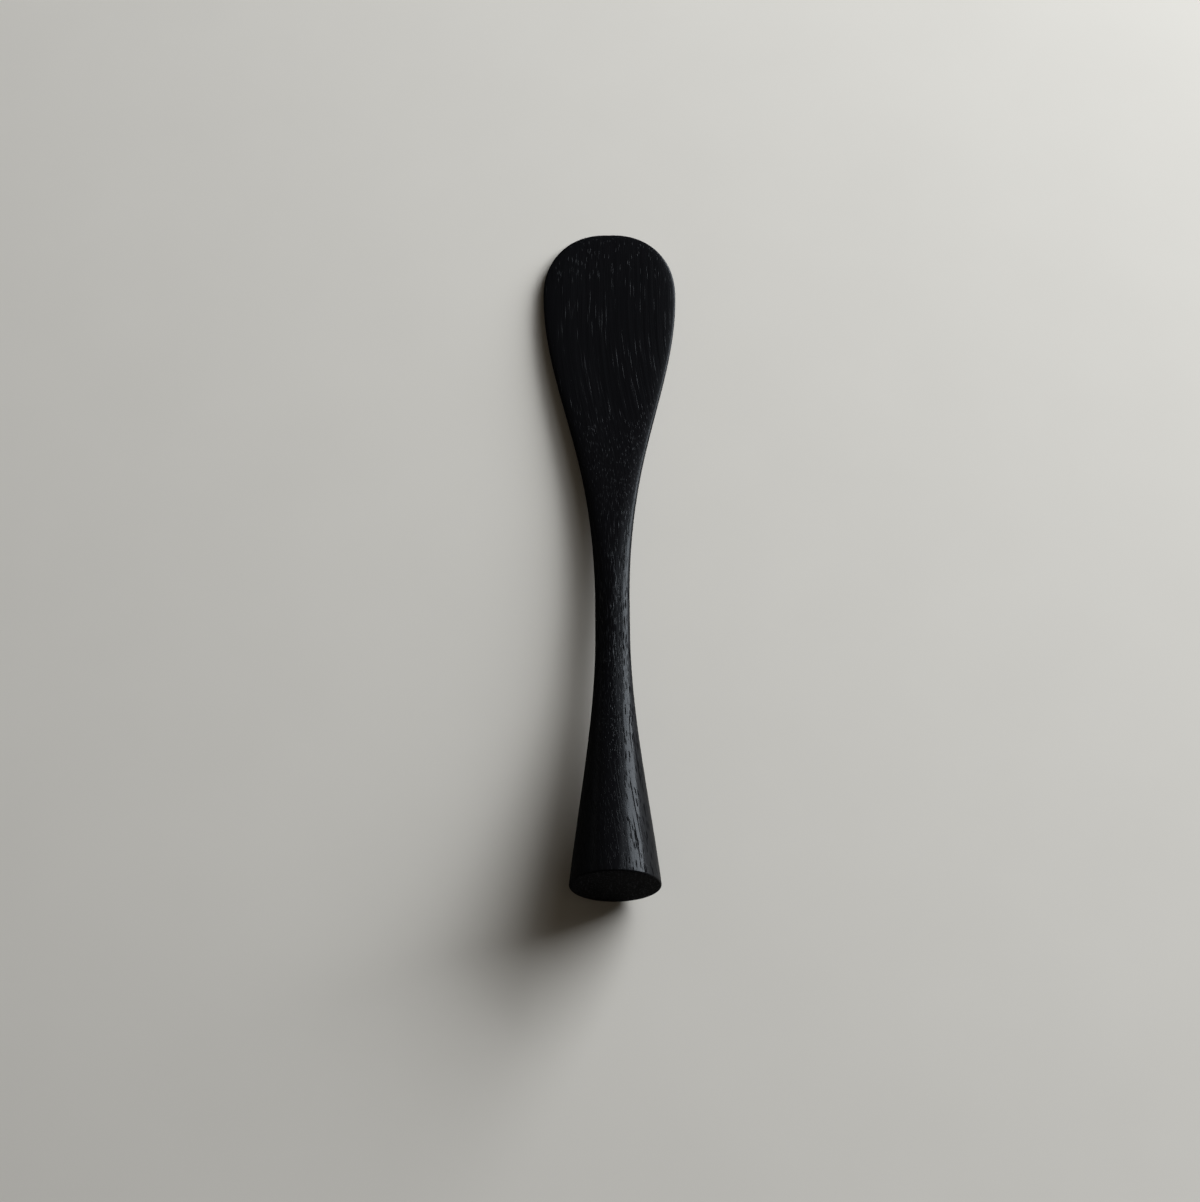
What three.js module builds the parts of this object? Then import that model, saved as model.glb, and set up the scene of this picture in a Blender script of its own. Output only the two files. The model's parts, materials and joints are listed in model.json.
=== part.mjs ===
// A spreader carved from one piece of blackened wood: a round handle that flares to a flat end,
// a slim neck and a wide, flat blade with a round tip.
//
// Millimetres, +Z up. The spreader lies as on a table, handle towards -Y and blade towards +Y.
// It touches the table with the lower rim of the handle's end and the underside of the blade near
// the tip, so it slopes down towards the tip. The origin is on the table, under the middle of its
// box.

import * as THREE from 'three';
import { LoftGeometry } from 'three/addons/geometries/LoftGeometry.js';

// Lengths along the axis, from the flat end of the handle to the tip of the blade
const HANDLE_LENGTH = 54.2; // flat end to the start of the neck
const NECK_LENGTH = 6.8; // stretch of even width
const SHOULDER_LENGTH = 31.6; // end of the neck to the shoulder station
const CHEEK_LENGTH = 41.5; // shoulder station to the widest part of the blade
const TIP_LENGTH = 15.9; // widest part of the blade to the tip
const RIDGE_START = 27; // flat end to where the handle's section stops being round

// Widths, seen from above
const END_DIAMETER = 17.7;
const NECK_WIDTH = 7;
const SHOULDER_WIDTH = 13.2;
const BLADE_WIDTH = 28.4;

// Thicknesses, seen from the side
const NECK_THICKNESS = 3.8; // at the start of the neck
const SHOULDER_THICKNESS = 2.6;
const BLADE_THICKNESS = 2; // at the widest part
const TIP_THICKNESS = 1; // at the tip, before its edge is rounded
const AXIS_SAG = 1.5; // how far the axis bows down at the end of the neck

// Slopes of one side to the axis, as millimetres sideways for each millimetre along
const HANDLE_FLARE = 0.109; // widening of the handle at its flat end
const HANDLE_TAPER = 0.16; // thickening of the handle at its flat end
const SHOULDER_FLARE = 0.2; // widening of the blade at the shoulder station

// Roundings
const END_ROUND = 0.4; // radius of the rim of the flat end
const NOSE_LENGTH = 2; // length over which the edge of the tip is rounded
const TIP_FULLNESS = 2.2; // 2 makes the tip a half ellipse in plan, more makes it squarer
const HANDLE_FULLNESS = 2; // 2 makes a section an ellipse
const NECK_FULLNESS = 1.7; // less gives it a soft ridge
const BLADE_FULLNESS = 6; // more gives it flatter faces

// Fineness of the mesh
const SECTION_POINTS = 42; // two more than a multiple of 4: points at both sides, flats above and below
const RIM_STEPS = 3;
const BODY_STEPS = 40;
const TIP_STEPS = 14;
const NOSE_ANGLE = THREE.MathUtils.degToRad(85); // share of the tip's quarter turn that is lofted

// Stations along the axis
const neckStart = HANDLE_LENGTH;
const neckEnd = neckStart + NECK_LENGTH;
const shoulder = neckEnd + SHOULDER_LENGTH;
const widest = shoulder + CHEEK_LENGTH;
const tip = widest + TIP_LENGTH;

// A cubic from one value and slope to another
function ease(along, from, to) {
  const span = to.at - from.at;
  const u = (along - from.at) / span;
  const rise = to.value - from.value;
  const start = from.slope * span * u * (1 - u) ** 2;
  const end = to.slope * span * u ** 2 * (u - 1);
  return from.value + rise * u ** 2 * (3 - 2 * u) + start + end;
}

// Half the width at a station, without the rounding of the end's rim
function halfWidth(along) {
  const end = { at: 0, value: END_DIAMETER / 2, slope: -HANDLE_FLARE };
  const waistStart = { at: neckStart, value: NECK_WIDTH / 2, slope: 0 };
  const waistEnd = { at: neckEnd, value: NECK_WIDTH / 2, slope: 0 };
  const flare = { at: shoulder, value: SHOULDER_WIDTH / 2, slope: SHOULDER_FLARE };
  const belly = { at: widest, value: BLADE_WIDTH / 2, slope: 0 };
  if (along < neckStart) return ease(along, end, waistStart);
  if (along < neckEnd) return NECK_WIDTH / 2;
  if (along < shoulder) return ease(along, waistEnd, flare);
  if (along < widest) return ease(along, flare, belly);
  const share = (along - widest) / TIP_LENGTH;
  return (BLADE_WIDTH / 2) * (1 - share ** TIP_FULLNESS) ** (1 / TIP_FULLNESS);
}

// Half the thickness at a station: round at the handle's end, thinner at the neck, then ever flatter
function halfThickness(along) {
  const faceSlope = (BLADE_THICKNESS - SHOULDER_THICKNESS) / 2 / CHEEK_LENGTH;
  const end = { at: 0, value: END_DIAMETER / 2, slope: -HANDLE_TAPER };
  const neck = { at: neckStart, value: NECK_THICKNESS / 2, slope: 0 };
  const flat = { at: shoulder, value: SHOULDER_THICKNESS / 2, slope: faceSlope };
  if (along < neckStart) return ease(along, end, neck);
  if (along < shoulder) return ease(along, neck, flat);
  const past = along - widest;
  if (past < 0) return BLADE_THICKNESS / 2 + faceSlope * past;
  const meanSlope = (TIP_THICKNESS - BLADE_THICKNESS) / 2 / TIP_LENGTH;
  const bend = (meanSlope - faceSlope) / TIP_LENGTH;
  const face = BLADE_THICKNESS / 2 + faceSlope * past + bend * past ** 2;
  const inNose = Math.max(0, 1 - (tip - along) / NOSE_LENGTH);
  return face * Math.sqrt(1 - inNose ** 2);
}

// Fullness of the section at a station, from the round handle over the ridged neck to the flat blade
function fullness(along) {
  const toNeck = THREE.MathUtils.smoothstep(along, RIDGE_START, neckStart);
  const handle = THREE.MathUtils.lerp(HANDLE_FULLNESS, NECK_FULLNESS, toNeck);
  const toBlade = THREE.MathUtils.smoothstep(along, neckEnd, widest);
  return THREE.MathUtils.lerp(handle, BLADE_FULLNESS, toBlade);
}

// Height of the axis at a station: a gentle bow, straight at both ends and lowest at the end of the neck
function axisHeight(along) {
  const share = along < neckEnd ? along / neckEnd : (tip - along) / (tip - neckEnd);
  return -AXIS_SAG * share * (1.5 - 0.5 * share ** 2);
}

// One section across the axis, a superellipse, drawn in by inset all round
function section(along, inset) {
  const width = halfWidth(along) - inset;
  const thickness = halfThickness(along) - inset;
  const middle = axisHeight(along);
  const power = 2 / fullness(along);
  const points = [];
  for (let i = 0; i < SECTION_POINTS; i++) {
    const turn = (2 * Math.PI * (i + 0.5)) / SECTION_POINTS;
    const across = Math.sign(Math.sin(turn)) * Math.abs(Math.sin(turn)) ** power;
    const up = Math.sign(Math.cos(turn)) * Math.abs(Math.cos(turn)) ** power;
    points.push(new THREE.Vector3(width * across, along, middle + thickness * up));
  }
  return points;
}

// The sections in order: the rim of the flat end, the body, and the tip in equal turns
function bodySections() {
  const sections = [];
  for (let i = 0; i < RIM_STEPS; i++) {
    const turn = (Math.PI / 2) * (i / RIM_STEPS);
    const along = END_ROUND * (1 - Math.cos(turn));
    sections.push(section(along, END_ROUND * (1 - Math.sin(turn))));
  }
  for (let i = 0; i < BODY_STEPS; i++) {
    sections.push(section(THREE.MathUtils.lerp(END_ROUND, widest, i / BODY_STEPS), 0));
  }
  for (let i = 0; i <= TIP_STEPS; i++) {
    const turn = NOSE_ANGLE * (i / TIP_STEPS);
    const share = Math.sin(turn) ** (2 / TIP_FULLNESS);
    sections.push(section(widest + TIP_LENGTH * share, 0));
  }
  return sections;
}

// The slope at which the lower rim of the end and the underside of the blade both touch the table:
// the shallowest line from the lowest point of the handle's end that leaves the body above it
function restingTilt(sections) {
  const lowest = sections.map((points) => ({
    along: points[0].y,
    depth: Math.max(...points.map((point) => -point.z)),
  }));
  const rim = lowest.reduce((a, b) => (b.depth > a.depth ? b : a));
  const beyond = lowest.filter((one) => one.along > rim.along);
  const slopes = beyond.map((one) => (rim.depth - one.depth) / (one.along - rim.along));
  return Math.atan(Math.min(...slopes));
}

const blackenedWood = new THREE.MeshStandardMaterial({
  color: 0x161618,
  roughness: 0.45,
  metalness: 0,
});

const sections = bodySections();
const geometry = new LoftGeometry(sections, { capStart: true, capEnd: true });
const body = new THREE.Mesh(geometry, blackenedWood);
body.name = 'spreader_body';
body.rotation.x = -restingTilt(sections);

const box = new THREE.Box3().setFromObject(body, true);
body.position.y = -(box.min.y + box.max.y) / 2;
body.position.z = -box.min.z;

const spreader = new THREE.Group();
spreader.name = 'spreader';
spreader.add(body);

export default spreader;
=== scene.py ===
# A spreader of blackened wood, lying on a pale table.
import json
import math

import bpy
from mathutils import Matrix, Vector


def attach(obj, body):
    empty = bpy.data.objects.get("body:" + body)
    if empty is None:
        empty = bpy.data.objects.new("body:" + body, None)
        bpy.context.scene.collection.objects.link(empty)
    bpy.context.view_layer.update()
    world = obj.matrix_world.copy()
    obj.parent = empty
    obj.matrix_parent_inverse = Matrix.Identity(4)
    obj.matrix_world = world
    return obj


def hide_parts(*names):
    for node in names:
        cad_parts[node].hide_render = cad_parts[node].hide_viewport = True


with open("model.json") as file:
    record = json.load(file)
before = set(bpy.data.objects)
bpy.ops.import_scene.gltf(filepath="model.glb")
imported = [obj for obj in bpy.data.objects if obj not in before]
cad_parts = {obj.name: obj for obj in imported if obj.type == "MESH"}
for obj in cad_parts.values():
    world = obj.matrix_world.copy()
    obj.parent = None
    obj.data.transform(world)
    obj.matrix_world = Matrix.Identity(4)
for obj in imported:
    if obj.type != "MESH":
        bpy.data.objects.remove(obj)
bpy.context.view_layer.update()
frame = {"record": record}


# The body. The spreader is one piece of ash: a round handle that flares to a flat end, a slim neck and
# a thin, flat blade with a round tip. It is turned and carved from one blank along the grain, sanded
# smooth, dyed black and oiled, so nothing is joined or fixed to it.

MM = 0.001

body_lengths = {
    "Handle Length": 54.2,  # flat end to the start of the neck
    "Ridge Start": 27.0,  # flat end to where the handle stops being round
    "Neck Length": 6.8,
    "Shoulder Length": 31.6,  # end of the neck to the shoulder station
    "Cheek Length": 41.5,  # shoulder station to the widest part of the blade
    "Tip Length": 15.9,
    "Axis Sag": 1.5,  # the axis lies lowest at the end of the neck
    "End Diameter": 17.7,
    "Neck Width": 7.0,
    "Shoulder Width": 13.2,
    "Blade Width": 28.4,
    "Neck Thickness": 3.8,
    "Shoulder Thickness": 2.6,
    "Blade Thickness": 2.0,
    "Tip Thickness": 1.0,
    "End Round": 0.4,  # radius of the rim of the flat end
    "Nose Length": 2.0,  # length over which the edge of the tip is rounded
}
body_shapes = {
    "Handle Flare": 0.109,  # slope of the handle's sides to the axis, at the flat end
    "Handle Taper": 0.16,  # slope of its top and underside there
    "Shoulder Flare": 0.2,  # slope of the sides at the shoulder station
    "Tip Fullness": 2.2,  # 2 is an ellipse, more is squarer
    "Handle Fullness": 2.0,
    "Neck Fullness": 1.7,
    "Blade Fullness": 6.0,
}

# The axis starts in the middle of the flat end, which is the part's mount, and runs down towards the
# tip, gently bowed
end_face = frame["record"]["mounts"][0]
axis_start = Vector(end_face["pos_m"])
axis_out = Vector(end_face["axis"])
slope = math.atan2(axis_out.z, -axis_out.y)


def add_node(tree, kind, inputs=(), **settings):
    """Adds a node with its settings, sets or links its inputs, and returns its first output."""
    node = tree.nodes.new(kind)
    for name, value in settings.items():
        setattr(node, name, value)
    for key, value in inputs.items() if isinstance(inputs, dict) else enumerate(inputs):
        if isinstance(value, bpy.types.NodeSocket):
            tree.links.new(value, node.inputs[key])
        else:
            node.inputs[key].default_value = value
    return node.outputs[0] if node.outputs else None


def axis_bow(tree, along, start, lowest, end):
    """The share of the axis's sag at a station: straight at both ends, level where it is lowest."""
    sagged = add_node(tree, "ShaderNodeMapRange", (along, start, lowest))
    raised = add_node(tree, "ShaderNodeMapRange", (along, end, lowest))
    share = add_node(tree, "ShaderNodeMath", (sagged, raised), operation="MULTIPLY")
    square = add_node(tree, "ShaderNodeMath", (share, share), operation="MULTIPLY")
    eased = add_node(tree, "ShaderNodeMath", (square, -0.5, 1.5), operation="MULTIPLY_ADD")
    return add_node(tree, "ShaderNodeMath", (share, eased), operation="MULTIPLY")


# What a smooth curve adds to a size between two stations, leaving at one slope and arriving at another
stretch = bpy.data.node_groups.new("outline_stretch", "GeometryNodeTree")
for name in ("Along", "From", "To", "Rise", "Start Slope", "End Slope"):
    stretch.interface.new_socket(name, in_out="INPUT", socket_type="NodeSocketFloat")
stretch.interface.new_socket("Added", in_out="OUTPUT", socket_type="NodeSocketFloat")
along, start, end, rise, leaving, arriving, _ = add_node(stretch, "NodeGroupInput").node.outputs
share = add_node(stretch, "ShaderNodeMapRange", (along, start, end))
risen = add_node(stretch, "ShaderNodeMapRange", (along, start, end, 0.0, rise),
                 interpolation_type="SMOOTHSTEP")
left = add_node(stretch, "ShaderNodeMath", (1.0, share), operation="SUBTRACT")
span = add_node(stretch, "ShaderNodeMath", (end, start), operation="SUBTRACT")
leaving = add_node(stretch, "ShaderNodeMath", (leaving, left), operation="MULTIPLY")
arriving = add_node(stretch, "ShaderNodeMath", (arriving, share), operation="MULTIPLY")
lean = add_node(stretch, "ShaderNodeMath", (leaving, arriving), operation="SUBTRACT")
middle = add_node(stretch, "ShaderNodeMath", (share, left), operation="MULTIPLY")
bulge = add_node(stretch, "ShaderNodeMath", (middle, span), operation="MULTIPLY")
added = add_node(stretch, "ShaderNodeMath", (bulge, lean, risen), operation="MULTIPLY_ADD")
add_node(stretch, "NodeGroupOutput", (added,))

# The body's tree bends a flat grid round the axis: columns go round, rows go from the end to the tip
ROUND_STEPS = 160
FACE_ROWS = 6
RIM_ROWS = 6
BODY_ROWS = 170
TIP_ROWS = 44
rim_row = float(FACE_ROWS)
body_row = rim_row + RIM_ROWS
tip_row = body_row + BODY_ROWS
last_row = tip_row + TIP_ROWS

shape = bpy.data.node_groups.new("spreader_body_shape", "GeometryNodeTree")
for name in (*body_lengths, *body_shapes):
    shape.interface.new_socket(name, in_out="INPUT", socket_type="NodeSocketFloat")
for name in ("Wood", "End Grain"):
    shape.interface.new_socket(name, in_out="INPUT", socket_type="NodeSocketMaterial")
shape.interface.new_socket("Body", in_out="OUTPUT", socket_type="NodeSocketGeometry")
size = add_node(shape, "NodeGroupInput").node.outputs

# Stations along the axis
neck_start = size["Handle Length"]
neck_end = add_node(shape, "ShaderNodeMath", (neck_start, size["Neck Length"]), operation="ADD")
shoulder = add_node(shape, "ShaderNodeMath", (neck_end, size["Shoulder Length"]), operation="ADD")
widest = add_node(shape, "ShaderNodeMath", (shoulder, size["Cheek Length"]), operation="ADD")
tip = add_node(shape, "ShaderNodeMath", (widest, size["Tip Length"]), operation="ADD")
nose = add_node(shape, "ShaderNodeMath", (tip, size["Nose Length"]), operation="SUBTRACT")

# Each point of the grid has a turn round the axis, a station along it, and an inset at the end's rim
grid = add_node(shape, "GeometryNodeMeshGrid", (1.0, 1.0, ROUND_STEPS + 1, int(last_row) + 1))
place = add_node(shape, "GeometryNodeInputPosition")
column, row, _ = add_node(shape, "ShaderNodeSeparateXYZ", (place,)).node.outputs
turn = add_node(shape, "ShaderNodeMath", (column, math.tau, math.pi), operation="MULTIPLY_ADD")
row = add_node(shape, "ShaderNodeMath", (row, last_row, last_row / 2), operation="MULTIPLY_ADD")
on_face = add_node(shape, "ShaderNodeMapRange", (row, 0.0, rim_row))
rim_turn = add_node(shape, "ShaderNodeMapRange", (row, rim_row, body_row, 0.0, math.pi / 2))
rim_cosine = add_node(shape, "ShaderNodeMath", (rim_turn,), operation="COSINE")
rim_sine = add_node(shape, "ShaderNodeMath", (rim_turn,), operation="SINE")
rim_along = add_node(shape, "ShaderNodeMath", (1.0, rim_cosine), operation="SUBTRACT")
rim_in = add_node(shape, "ShaderNodeMath", (1.0, rim_sine), operation="SUBTRACT")
inset = add_node(shape, "ShaderNodeMath", (rim_in, size["End Round"]), operation="MULTIPLY")
body_span = add_node(shape, "ShaderNodeMath", (widest, size["End Round"]), operation="SUBTRACT")
on_body = add_node(shape, "ShaderNodeMapRange", (row, body_row, tip_row, 0.0, body_span))
tip_turn = add_node(shape, "ShaderNodeMapRange", (row, tip_row, last_row, 0.0, math.pi / 2))
tip_power = add_node(shape, "ShaderNodeMath", (2.0, size["Tip Fullness"]), operation="DIVIDE")
tip_sine = add_node(shape, "ShaderNodeMath", (tip_turn,), operation="SINE")
tip_along = add_node(shape, "ShaderNodeMath", (tip_sine, tip_power), operation="POWER")
tip_cosine = add_node(shape, "ShaderNodeMath", (tip_turn,), operation="COSINE")
tip_cosine = add_node(shape, "ShaderNodeMath", (tip_cosine, 0.0), operation="MAXIMUM")
tip_wide = add_node(shape, "ShaderNodeMath", (tip_cosine, tip_power), operation="POWER")
along = add_node(shape, "ShaderNodeMath", (rim_along, size["End Round"], on_body),
                 operation="MULTIPLY_ADD")
along = add_node(shape, "ShaderNodeMath", (tip_along, size["Tip Length"], along),
                 operation="MULTIPLY_ADD")

half = {}
for name in body_lengths:
    if name.endswith(("Diameter", "Width", "Thickness")):
        half[name] = add_node(shape, "ShaderNodeMath", (size[name], 0.5), operation="MULTIPLY")

# Half the width: the handle narrows, the neck is even, shoulder and cheek widen, the tip rounds off
flare = add_node(shape, "ShaderNodeMath", (size["Handle Flare"], -1.0), operation="MULTIPLY")
spread = size["Shoulder Flare"]
wide = half["End Diameter"]
for start, end, from_size, to_size, leaving, arriving in (
    (0.0, neck_start, "End Diameter", "Neck Width", flare, 0.0),
    (neck_end, shoulder, "Neck Width", "Shoulder Width", 0.0, spread),
    (shoulder, widest, "Shoulder Width", "Blade Width", spread, 0.0),
):
    rise = add_node(shape, "ShaderNodeMath", (half[to_size], half[from_size]), operation="SUBTRACT")
    added = add_node(shape, "GeometryNodeGroup", (along, start, end, rise, leaving, arriving),
                     node_tree=stretch)
    wide = add_node(shape, "ShaderNodeMath", (wide, added), operation="ADD")
wide = add_node(shape, "ShaderNodeMath", (wide, tip_wide), operation="MULTIPLY")
wide = add_node(shape, "ShaderNodeMath", (wide, inset), operation="SUBTRACT")

# Half the thickness: round at the end, thinner at the neck, then ever flatter, with a rounded edge at
# the tip
taper = add_node(shape, "ShaderNodeMath", (size["Handle Taper"], -1.0), operation="MULTIPLY")
fall = add_node(shape, "ShaderNodeMath", (half["Blade Thickness"], half["Shoulder Thickness"]),
                operation="SUBTRACT")
face = add_node(shape, "ShaderNodeMath", (fall, size["Cheek Length"]), operation="DIVIDE")
tip_fall = add_node(shape, "ShaderNodeMath", (half["Tip Thickness"], half["Blade Thickness"]),
                    operation="SUBTRACT")
tip_mean = add_node(shape, "ShaderNodeMath", (tip_fall, size["Tip Length"]), operation="DIVIDE")
tip_bend = add_node(shape, "ShaderNodeMath", (tip_mean, face), operation="SUBTRACT")
tip_end = add_node(shape, "ShaderNodeMath", (tip_mean, tip_bend), operation="ADD")
deep = half["End Diameter"]
for start, end, from_size, to_size, leaving, arriving in (
    (0.0, neck_start, "End Diameter", "Neck Thickness", taper, 0.0),
    (neck_start, shoulder, "Neck Thickness", "Shoulder Thickness", 0.0, face),
    (shoulder, widest, "Shoulder Thickness", "Blade Thickness", face, face),
    (widest, tip, "Blade Thickness", "Tip Thickness", face, tip_end),
):
    rise = add_node(shape, "ShaderNodeMath", (half[to_size], half[from_size]), operation="SUBTRACT")
    added = add_node(shape, "GeometryNodeGroup", (along, start, end, rise, leaving, arriving),
                     node_tree=stretch)
    deep = add_node(shape, "ShaderNodeMath", (deep, added), operation="ADD")
in_nose = add_node(shape, "ShaderNodeMapRange", (along, nose, tip))
nose_square = add_node(shape, "ShaderNodeMath", (in_nose, in_nose), operation="MULTIPLY")
nose_left = add_node(shape, "ShaderNodeMath", (1.0, nose_square), operation="SUBTRACT")
nose_round = add_node(shape, "ShaderNodeMath", (nose_left,), operation="SQRT")
deep = add_node(shape, "ShaderNodeMath", (deep, nose_round), operation="MULTIPLY")
deep = add_node(shape, "ShaderNodeMath", (deep, inset), operation="SUBTRACT")

# The section there: round on the handle, softly ridged at the neck, flat-faced on the blade
full = add_node(shape, "ShaderNodeMapRange",
                (along, size["Ridge Start"], neck_start, size["Handle Fullness"], size["Neck Fullness"]),
                interpolation_type="SMOOTHSTEP")
full = add_node(shape, "ShaderNodeMapRange", (along, neck_end, widest, full, size["Blade Fullness"]),
                interpolation_type="SMOOTHSTEP")
flat = add_node(shape, "ShaderNodeMath", (1.0, full), operation="DIVIDE")
sine = add_node(shape, "ShaderNodeMath", (turn,), operation="SINE")
cosine = add_node(shape, "ShaderNodeMath", (turn,), operation="COSINE")
side = add_node(shape, "ShaderNodeMath", (cosine,), operation="SIGN")
out = add_node(shape, "ShaderNodeMath", (sine,), operation="ABSOLUTE")
out = add_node(shape, "ShaderNodeMath", (out, full), operation="POWER")
out = add_node(shape, "ShaderNodeMath", (1.0, out), operation="SUBTRACT")
out = add_node(shape, "ShaderNodeMath", (out, 0.0), operation="MAXIMUM")
up = add_node(shape, "ShaderNodeMath", (out, flat), operation="POWER")
up = add_node(shape, "ShaderNodeMath", (up, side), operation="MULTIPLY")
up = add_node(shape, "ShaderNodeMath", (up, deep), operation="MULTIPLY")
up = add_node(shape, "ShaderNodeMath", (up, on_face), operation="MULTIPLY")
across = add_node(shape, "ShaderNodeMath", (sine, wide), operation="MULTIPLY")
across = add_node(shape, "ShaderNodeMath", (across, on_face), operation="MULTIPLY")
bow = axis_bow(shape, along, 0.0, neck_end, tip)
drop = add_node(shape, "ShaderNodeMath", (bow, size["Axis Sag"]), operation="MULTIPLY")
up = add_node(shape, "ShaderNodeMath", (up, drop), operation="SUBTRACT")

# The bent grid is welded along its seam, at the flat end's middle and at the tip, and laid on the table
WELD = 0.0005 * MM
END_FACING = 0.9  # a face that looks out along the axis more than this belongs to the flat end
point = add_node(shape, "ShaderNodeCombineXYZ", (across, along, up))
body = add_node(shape, "GeometryNodeSetPosition", {"Geometry": grid, "Position": point})
body = add_node(shape, "GeometryNodeMergeByDistance", {"Geometry": body, "Distance": WELD})
body = add_node(shape, "GeometryNodeTransform",
                {"Geometry": body, "Translation": axis_start, "Rotation": (-slope, 0.0, 0.0)})
body = add_node(shape, "GeometryNodeSetShadeSmooth", {"Geometry": body})
body = add_node(shape, "GeometryNodeRealizeInstances", (body,))
body = add_node(shape, "GeometryNodeSetMaterial", {"Geometry": body, "Material": size["Wood"]})
facing = add_node(shape, "GeometryNodeInputNormal")
outward = add_node(shape, "ShaderNodeVectorMath", (facing, axis_out), operation="DOT_PRODUCT")
outward = outward.node.outputs["Value"]
at_end = add_node(shape, "ShaderNodeMath", (outward, END_FACING), operation="GREATER_THAN")
body = add_node(shape, "GeometryNodeSetMaterial",
                {"Geometry": body, "Selection": at_end, "Material": size["End Grain"]})
add_node(shape, "NodeGroupOutput", (body,))


def linear(colour):
    """The linear light of an sRGB colour written as hex digits."""
    parts = [int(colour[i:i + 2], 16) / 255 for i in (1, 3, 5)]
    return [p / 12.92 if p <= 0.04045 else ((p + 0.055) / 1.055) ** 2.4 for p in parts] + [1.0]


# Ebonised ash, sanded and oiled. The dye leaves it almost black, and the thin oil gives the fibres a
# soft, satin gloss with a cool cast. Ash is ring-porous: wide vessels are dark, matt dashes that break
# up the gloss, and fine ones are shallow grooves that glint, long where the surface follows the grain
# and dots where it cuts it. The handle is polished by the hand, and the flanks, sanded across the
# grain, are duller.
FIBRE_DARK = "#070708"
FIBRE_PALE = "#0f0f11"
PORE_GREY = "#131315"
VESSEL_DARK = "#060607"
END_VESSEL_GREY = "#212124"
RING_WIDTH = 2.4 * MM
PITH = (12.0 * MM, 0.0, -70.0 * MM)  # middle of the growth rings, far below the blank
FLAT_END, NECK_END, TIP_END = -74.6 * MM, -13.6 * MM, 75.4 * MM  # stations along the grain

wood_cells = {  # mm across, along and through the grain
    "fine vessel": (0.18, 7.0, 0.18),
    "wide vessel": (0.42, 3.2, 0.6),  # drawn a little wider than real ones, so that they show
    "seam": (0.6, 30.0, 5.0),
    "thread": (0.2, 12.0, 0.2),  # many fibres each, as single ones are too fine to show
    "bundle": (0.7, 28.0, 0.7),
}
wood_changes = {  # mm along the grain from the spreader's middle, towards the tip
    "handle leans": (-78, -40),
    "blade leans": (5, 53),
    "shoulder dips": (-4, 34),
    "pores shorten": (-65, 12),
    "pores lengthen": (20, 75),
    "pores open": (-55, -25),
    "pores close": (-30, 75),
    "grooves flatten": (-25, 8),
    "glint fades": (-5, 15),
    "dashes end": (-10, 20),
    "seams end": (-50, -30),
    "polish fades": (-12, 18),
}
change = {name: [place * MM for place in ends] for name, ends in wood_changes.items()}

wood = bpy.data.materials.new("ebonised_ash")
wood.use_nodes = True
look = wood.node_tree
look.nodes.clear()
spot = add_node(look, "ShaderNodeTexCoord").node.outputs["Object"]
spot = add_node(look, "ShaderNodeMapping", {"Vector": spot, "Rotation": (slope, 0.0, 0.0)})
_, station, _ = add_node(look, "ShaderNodeSeparateXYZ", (spot,)).node.outputs

# The grain follows the bowed axis, leans a little on the handle and the blade, dips at the shoulder and
# wanders in slow bends
HANDLE_LEAN = 3.8 * MM
BLADE_LEAN = 5.0 * MM
SHOULDER_DIP = 2.4 * MM
BENDS_PER_METRE = (60.0, 20.0, 60.0)
WANDER = (1.6 * MM, 0.0, 0.6 * MM)
bow = axis_bow(look, station, FLAT_END, NECK_END, TIP_END)
handle_leans = add_node(look, "ShaderNodeMapRange", (station, *change["handle leans"], -HANDLE_LEAN, 0.0),
                        interpolation_type="SMOOTHSTEP")
blade_leans = add_node(look, "ShaderNodeMapRange", (station, *change["blade leans"], 0.0, BLADE_LEAN),
                       interpolation_type="SMOOTHSTEP")
leaning = add_node(look, "ShaderNodeMath", (handle_leans, blade_leans), operation="ADD")
dipping = add_node(look, "ShaderNodeMapRange", (station, *change["shoulder dips"], 0.0, SHOULDER_DIP),
                   interpolation_type="SMOOTHSTEP")
dipping = add_node(look, "ShaderNodeMath", (bow, body_lengths["Axis Sag"] * MM, dipping),
                   operation="MULTIPLY_ADD")
shift = add_node(look, "ShaderNodeCombineXYZ", (leaning, 0.0, dipping))
grain = add_node(look, "ShaderNodeVectorMath", (spot, shift), operation="ADD")
bends = add_node(look, "ShaderNodeVectorMath", (grain, BENDS_PER_METRE), operation="MULTIPLY")
wander = add_node(look, "ShaderNodeTexNoise", {"Vector": bends, "Scale": 1.0, "Detail": 1.0})
wander = wander.node.outputs["Color"]
wander = add_node(look, "ShaderNodeVectorMath", (wander, (0.5, 0.5, 0.5)), operation="SUBTRACT")
wander = add_node(look, "ShaderNodeVectorMath", (wander, WANDER), operation="MULTIPLY")
grain = add_node(look, "ShaderNodeVectorMath", (grain, wander), operation="ADD")
cells = {}
for name, sides in wood_cells.items():
    per_metre = [1 / (length * MM) for length in sides]
    cells[name] = add_node(look, "ShaderNodeVectorMath", (grain, per_metre), operation="MULTIPLY")

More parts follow.
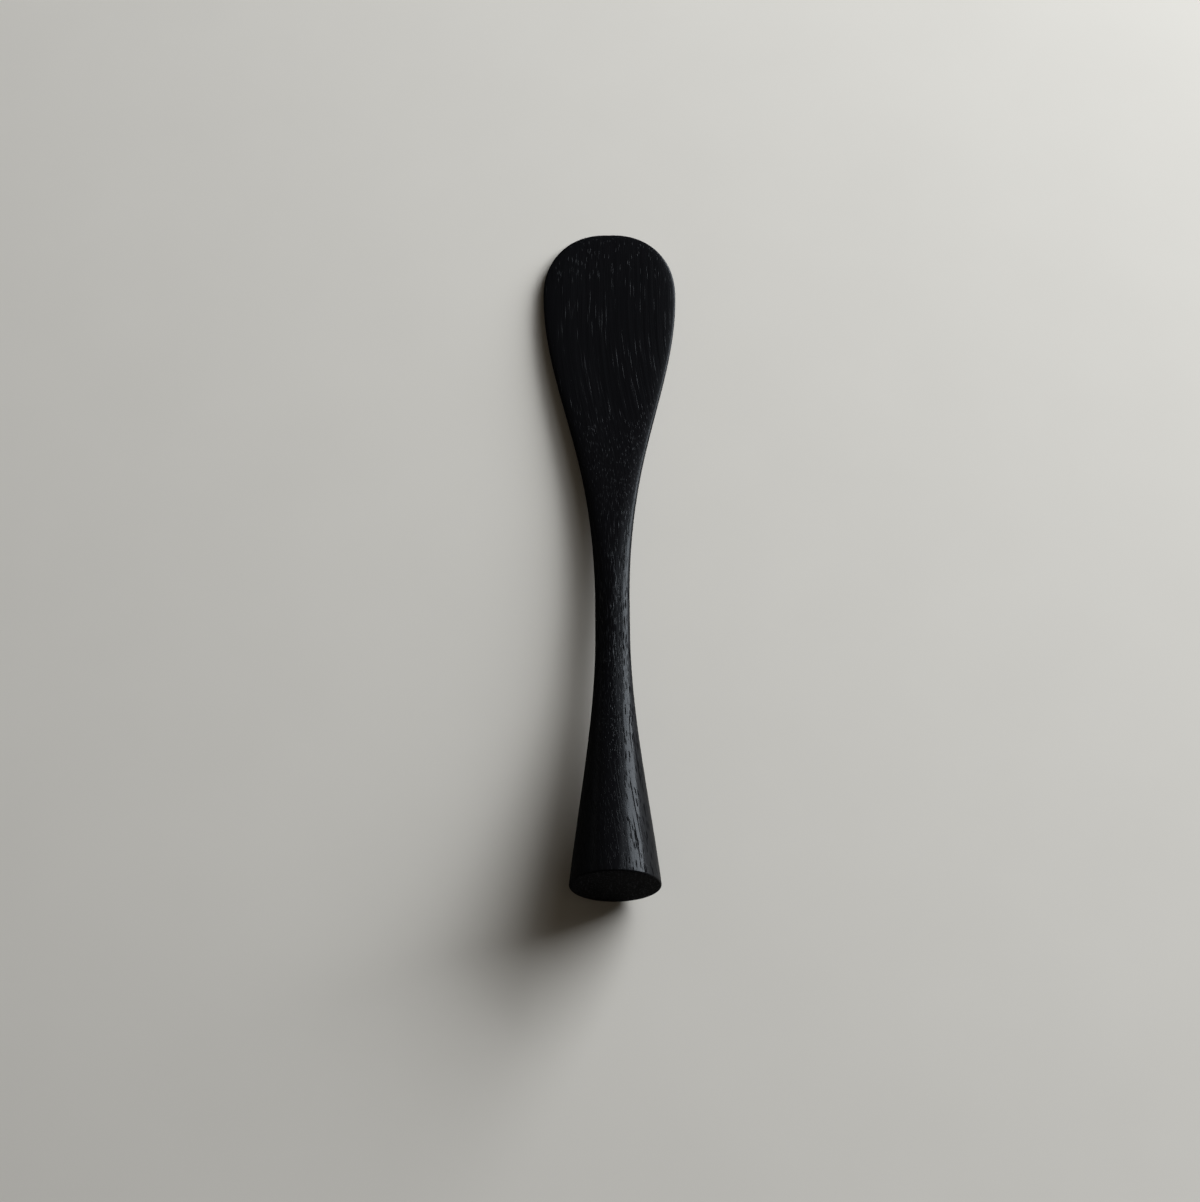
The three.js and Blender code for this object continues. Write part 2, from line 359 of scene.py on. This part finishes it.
# Growth rings: wide vessels in the early wood of each year, narrower ones in its late wood
EARLY_WOOD = (0.1, 0.4)  # from the middle of a ring, as a share of its width
LATE_PORE = 0.88
from_pith = add_node(look, "ShaderNodeVectorMath", (grain, PITH), operation="SUBTRACT")
from_pith = add_node(look, "ShaderNodeVectorMath", (from_pith, (1.0, 0.0, 1.0)), operation="MULTIPLY")
radius = add_node(look, "ShaderNodeVectorMath", (from_pith,), operation="LENGTH").node.outputs["Value"]
year = add_node(look, "ShaderNodeMath", (radius, 1 / RING_WIDTH), operation="MULTIPLY")
year = add_node(look, "ShaderNodeMath", (year,), operation="FRACT")
early = add_node(look, "ShaderNodeMath", (year, 0.5), operation="SUBTRACT")
early = add_node(look, "ShaderNodeMath", (early,), operation="ABSOLUTE")
early = add_node(look, "ShaderNodeMapRange", (early, *EARLY_WOOD, LATE_PORE, 1.0),
                 interpolation_type="SMOOTHSTEP")

# Fine vessels: thin cells drawn out along the grain, most open at the neck, sanded closer at both ends
MORE_ROWS = 8.0  # rows of cells added up to the shoulder, where the vessels are shorter
FEWER_ROWS = 4.8  # rows taken out on the blade, where they run on
FINE_REACH = 0.43  # a vessel's share of its cell
END_OPENNESS = 0.4
TIP_OPENNESS = 0.42
shorter = add_node(look, "ShaderNodeMapRange", (station, *change["pores shorten"], 0.0, MORE_ROWS),
                   interpolation_type="SMOOTHSTEP")
longer = add_node(look, "ShaderNodeMapRange", (station, *change["pores lengthen"], 0.0, -FEWER_ROWS))
rows = add_node(look, "ShaderNodeMath", (shorter, longer), operation="ADD")
rows = add_node(look, "ShaderNodeCombineXYZ", (0.0, rows, 0.0))
fine_cells = add_node(look, "ShaderNodeVectorMath", (cells["fine vessel"], rows), operation="ADD")
fine = add_node(look, "ShaderNodeTexVoronoi", {"Vector": fine_cells, "Scale": 1.0})
opening = add_node(look, "ShaderNodeMapRange", (station, *change["pores open"], END_OPENNESS, 1.0))
closing = add_node(look, "ShaderNodeMapRange", (station, *change["pores close"], 1.0, TIP_OPENNESS),
                   interpolation_type="SMOOTHSTEP")
openness = add_node(look, "ShaderNodeMath", (opening, closing), operation="MULTIPLY")
fine_reach = add_node(look, "ShaderNodeMath", (openness, FINE_REACH), operation="MULTIPLY")
fine_reach = add_node(look, "ShaderNodeMath", (fine_reach, early), operation="MULTIPLY")
pore = add_node(look, "ShaderNodeMapRange", (fine, fine_reach, 0.0))

# Wide vessels: flat-bottomed dashes on the handle and the neck
WIDE_REACH = (0.37, 0.02)
WIDE_FLOOR = 0.75  # the flat bottom's share of a dash
wide_vessel = add_node(look, "ShaderNodeTexVoronoi", {"Vector": cells["wide vessel"], "Scale": 1.0})
wide_reach = add_node(look, "ShaderNodeMapRange", (station, *change["dashes end"], *WIDE_REACH))
wide_floor = add_node(look, "ShaderNodeMath", (wide_reach, WIDE_FLOOR), operation="MULTIPLY")
vessel = add_node(look, "ShaderNodeMapRange", (wide_vessel, wide_reach, wide_floor),
                  interpolation_type="SMOOTHSTEP")

# Seams: long dark lines near the end of the handle, where rows of wide vessels run on
SEAM_REACH = (0.27, 0.02)
SEAM_FLOOR = 0.5
seam = add_node(look, "ShaderNodeTexVoronoi", {"Vector": cells["seam"], "Scale": 1.0})
seam_reach = add_node(look, "ShaderNodeMapRange", (station, *change["seams end"], *SEAM_REACH))
seam_floor = add_node(look, "ShaderNodeMath", (seam_reach, SEAM_FLOOR), operation="MULTIPLY")
seam = add_node(look, "ShaderNodeMapRange", (seam, seam_reach, seam_floor),
                interpolation_type="SMOOTHSTEP")
vessel = add_node(look, "ShaderNodeMath", (vessel, seam), operation="MAXIMUM")

# Fibres: fine threads between the vessels, and bundles of them that stand a little higher or lower and
# take more or less oil
thread = add_node(look, "ShaderNodeTexNoise", {"Vector": cells["thread"], "Scale": 1.0, "Detail": 2.0})
bundle = add_node(look, "ShaderNodeTexNoise", {"Vector": cells["bundle"], "Scale": 1.0, "Detail": 1.0})

# The flanks, told from the faces by the way the surface faces. Vessels don't open right on them.
RIGHT_FLANK = (0.56, 0.8)
LEFT_FLANK = (-0.35, -0.6)
CLEAR_OF_FLANKS = (0.95, 0.8)
surface = add_node(look, "ShaderNodeNewGeometry").node.outputs["Normal"]
sideways, _, _ = add_node(look, "ShaderNodeSeparateXYZ", (surface,)).node.outputs
right_flank = add_node(look, "ShaderNodeMapRange", (sideways, *RIGHT_FLANK),
                       interpolation_type="SMOOTHSTEP")
left_flank = add_node(look, "ShaderNodeMapRange", (sideways, *LEFT_FLANK),
                      interpolation_type="SMOOTHSTEP")
either_side = add_node(look, "ShaderNodeMath", (sideways,), operation="ABSOLUTE")
off_flank = add_node(look, "ShaderNodeMapRange", (either_side, *CLEAR_OF_FLANKS),
                     interpolation_type="SMOOTHSTEP")
vessel = add_node(look, "ShaderNodeMath", (vessel, off_flank), operation="MULTIPLY")

# Colour. A colour mix has its two colours at places 6 and 7, and its result at place 2.
fibre = add_node(look, "ShaderNodeMix", {"Factor": thread, 6: linear(FIBRE_DARK), 7: linear(FIBRE_PALE)},
                 data_type="RGBA").node.outputs[2]
colour = add_node(look, "ShaderNodeMix", {"Factor": pore, 6: fibre, 7: linear(PORE_GREY)},
                  data_type="RGBA").node.outputs[2]
colour = add_node(look, "ShaderNodeMix", {"Factor": vessel, 6: colour, 7: linear(VESSEL_DARK)},
                  data_type="RGBA").node.outputs[2]

# Gloss: polished on the handle and the neck, plainer on the blade, dull on the flanks and in the vessels
POLISHED, SANDED = 0.11, 0.19
OIL_VARIES = 0.1
LIT_FLANK = 0.45
PORE_ROUGH = (0.2, 0.45)
MATT = 1.0
polished = add_node(look, "ShaderNodeMapRange", (station, *change["polish fades"], POLISHED, SANDED))
oiled = add_node(look, "ShaderNodeMapRange", (bundle, 0.3, 0.7, 0.0, OIL_VARIES))
rough = add_node(look, "ShaderNodeMath", (polished, oiled), operation="ADD")
glint = add_node(look, "ShaderNodeMapRange", (station, *change["glint fades"], *PORE_ROUGH))
for where, roughness in ((right_flank, LIT_FLANK), (left_flank, MATT), (pore, glint), (vessel, MATT)):
    rough = add_node(look, "ShaderNodeMix", {"Factor": where, "A": rough, "B": roughness},
                     data_type="FLOAT")

# Relief: the grooves of the vessels, and fibres that stand up a little
GROOVE_DEPTH = (-0.05 * MM, -0.024 * MM)
VESSEL_DEPTH = -0.015 * MM
BUNDLE_HEIGHT = 0.025 * MM
THREAD_HEIGHT = (0.006 * MM, 0.02 * MM)
depth = add_node(look, "ShaderNodeMapRange", (station, *change["grooves flatten"], *GROOVE_DEPTH))
depth = add_node(look, "ShaderNodeMath", (depth, opening), operation="MULTIPLY")
relief = add_node(look, "ShaderNodeMath", (pore, depth), operation="MULTIPLY")
relief = add_node(look, "ShaderNodeMath", (vessel, VESSEL_DEPTH, relief), operation="MULTIPLY_ADD")
relief = add_node(look, "ShaderNodeMath", (bundle, BUNDLE_HEIGHT, relief), operation="MULTIPLY_ADD")
thready = add_node(look, "ShaderNodeMapRange", (station, *change["polish fades"], *THREAD_HEIGHT))
relief = add_node(look, "ShaderNodeMath", (thread, thready, relief), operation="MULTIPLY_ADD")
normal = add_node(look, "ShaderNodeBump", {"Strength": 1.0, "Distance": 1.0, "Height": relief})
finish = add_node(look, "ShaderNodeBsdfPrincipled",
                  {"Base Color": colour, "Roughness": rough, "Normal": normal,
                   "Specular IOR Level": 0.058, "Specular Tint": (0.9, 0.96, 1.0, 1.0)})
add_node(look, "ShaderNodeOutputMaterial", {"Surface": finish})

# The same wood on the flat end, where the cut vessels drink the oil: matt, with the vessels as dots
end_grain = wood.copy()
end_grain.name = "ebonised_ash_end_grain"
end_finish = end_grain.node_tree.nodes[finish.node.name].inputs
end_grain.node_tree.links.remove(end_finish["Roughness"].links[0])
end_finish["Roughness"].default_value = 0.9
end_finish["Specular IOR Level"].default_value = 0.04
end_grain.node_tree.nodes[colour.node.name].inputs[7].default_value = linear(END_VESSEL_GREY)

spreader = bpy.data.objects.new("spreader_wood", bpy.data.meshes.new("spreader_wood"))
bpy.context.collection.objects.link(spreader)
carving = spreader.modifiers.new("carving", "NODES")
carving.node_group = shape
for socket in shape.interface.items_tree:
    if socket.name in body_lengths:
        carving[socket.identifier] = body_lengths[socket.name] * MM
    elif socket.name in body_shapes:
        carving[socket.identifier] = body_shapes[socket.name]
    elif socket.name == "Wood":
        carving[socket.identifier] = wood
    elif socket.name == "End Grain":
        carving[socket.identifier] = end_grain
carved = spreader.evaluated_get(bpy.context.evaluated_depsgraph_get())
spreader.data = bpy.data.meshes.new_from_object(carved)
spreader.modifiers.remove(carving)
spreader.data.name = "spreader_wood"

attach(spreader, "root")
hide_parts("spreader_body")


# The table. A wide, level top with a pale, even coat of plaster, which was trowelled smooth and left
# matt. It belongs to the stage: the spreader lies on it, and nothing holds it there.
TABLE_PALE = "#d4cfc6"
TABLE_SHADE = "#d0cbc2"
TABLE_REACH = 3.0  # metres from its middle to each side
MOTTLES_PER_METRE = 40.0

table_mesh = bpy.data.meshes.new("table")
corners = [(x * TABLE_REACH, y * TABLE_REACH, 0) for x, y in ((-1, -1), (1, -1), (1, 1), (-1, 1))]
table_mesh.from_pydata(corners, [], [(0, 1, 2, 3)])
table = bpy.data.objects.new("table", table_mesh)
bpy.context.collection.objects.link(table)

# Pale plaster, matt, with a faint mottle from the trowel
plaster = bpy.data.materials.new("pale_plaster")
plaster.use_nodes = True
look = plaster.node_tree
look.nodes.clear()
spot = add_node(look, "ShaderNodeTexCoord").node.outputs["Object"]
mottle = add_node(look, "ShaderNodeTexNoise",
                  {"Vector": spot, "Scale": MOTTLES_PER_METRE, "Detail": 3.0})
colour = add_node(look, "ShaderNodeMix", {"Factor": mottle, 6: linear(TABLE_SHADE), 7: linear(TABLE_PALE)},
                  data_type="RGBA").node.outputs[2]
finish = add_node(look, "ShaderNodeBsdfPrincipled",
                  {"Base Color": colour, "Roughness": 0.9, "Specular IOR Level": 0.2})
add_node(look, "ShaderNodeOutputMaterial", {"Surface": finish})
table_mesh.materials.append(plaster)


# The light. A large, soft window light from the right, a softer one above it, and a dim, warm room.
DAYLIGHT = (0.955, 1.005, 1.065)
ROOM_WARM = (1.0, 0.88, 0.72, 1.0)
ROOM_STRENGTH = 0.06

# Azimuth and elevation in degrees, distance, width and height in metres, and radiance
for name, azimuth, elevation, distance, across, high, radiance in (
    ("window_light", 39, 18.5, 1.19, 1.04, 0.59, 17.6),
    ("upper_light", 42, 42, 1.23, 1.01, 0.57, 1.9),
):
    azimuth = math.radians(azimuth)
    elevation = math.radians(elevation)
    lamp = bpy.data.lights.new(name, "AREA")
    lamp.shape = "RECTANGLE"
    lamp.size = across
    lamp.size_y = high
    lamp.energy = radiance * math.pi * across * high
    lamp.color = DAYLIGHT
    lamp_object = bpy.data.objects.new(name, lamp)
    towards = Vector((math.cos(elevation) * math.cos(azimuth), math.cos(elevation) * math.sin(azimuth),
                      math.sin(elevation)))
    lamp_object.location = towards * distance
    lamp_object.rotation_euler = (-towards).to_track_quat("-Z", "Y").to_euler()
    bpy.context.collection.objects.link(lamp_object)

room = bpy.data.worlds.new("dim_room")
room.use_nodes = True
bpy.context.scene.world = room
look = room.node_tree
look.nodes.clear()
glow = add_node(look, "ShaderNodeBackground", {"Color": ROOM_WARM, "Strength": ROOM_STRENGTH})
add_node(look, "ShaderNodeOutputWorld", {"Surface": glow})
bpy.context.scene.view_settings.view_transform = "Standard"


# The camera. It looks down on the handle from the front, as in the photograph.
CAMERA_AIM = (-2.482, -11.699, 0.0)  # mm
CAMERA_DISTANCE = 475.37  # mm
CAMERA_ELEVATION = 66.391  # degrees
CAMERA_YAW = -0.378  # degrees

camera_data = bpy.data.cameras.new("camera")
camera_data.lens = 70.0
camera_data.sensor_width = 36.0
camera_data.sensor_fit = "HORIZONTAL"
camera = bpy.data.objects.new("camera", camera_data)
elevation = math.radians(CAMERA_ELEVATION)
yaw = math.radians(CAMERA_YAW)
back = Vector((math.sin(yaw) * math.cos(elevation), -math.cos(yaw) * math.cos(elevation),
               math.sin(elevation)))
camera.location = Vector(CAMERA_AIM) * MM + back * CAMERA_DISTANCE * MM
camera.rotation_euler = (-back).to_track_quat("-Z", "Y").to_euler()
bpy.context.collection.objects.link(camera)
bpy.context.scene.camera = camera
